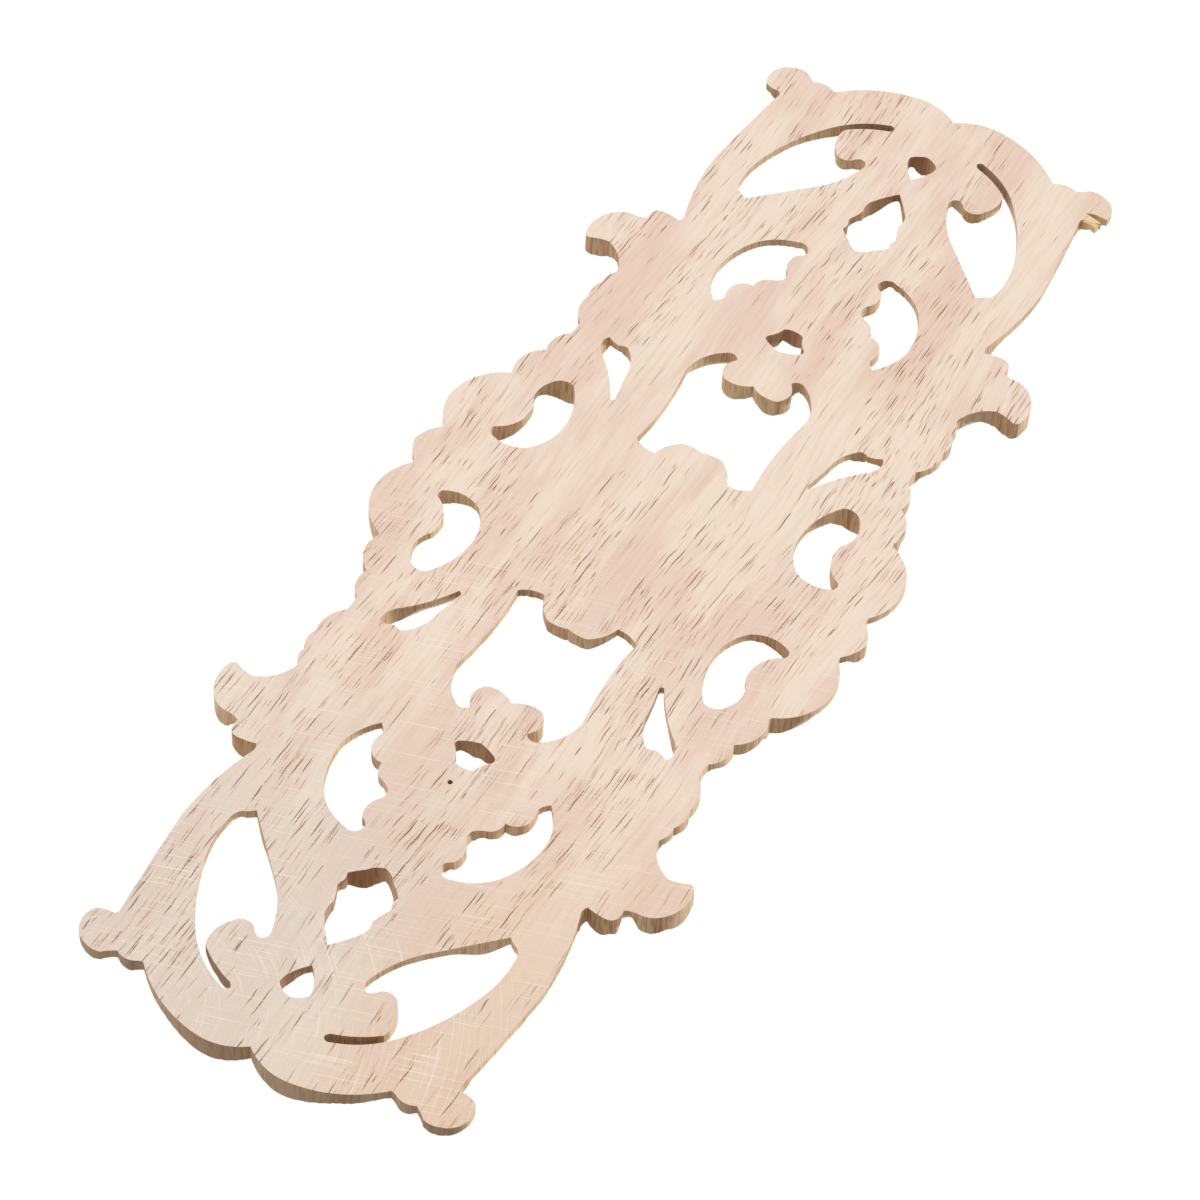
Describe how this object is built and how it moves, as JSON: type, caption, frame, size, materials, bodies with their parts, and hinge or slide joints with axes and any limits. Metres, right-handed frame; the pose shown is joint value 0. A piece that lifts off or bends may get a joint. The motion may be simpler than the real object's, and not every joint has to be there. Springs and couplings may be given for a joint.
{
  "type": "carved wood applique",
  "caption": "Long pierced wooden ornament with a flat back and a scroll-and-leaf carved front, fixed flat to furniture, a door or a wall panel.",
  "frame": {"origin": "centre of the flat back, where it is fixed", "axes": "+Y out of the flat back towards what it is fixed to, +X along the length, +Z across the width"},
  "size_m": [0.299, 0.008, 0.108],
  "materials": {
    "pale_wood": "bare pale rubberwood, sanded flat on the back and left open-grained"
  },
  "bodies": {
    "root": {"carved_applique": "pale_wood"}
  },
  "joints": []
}
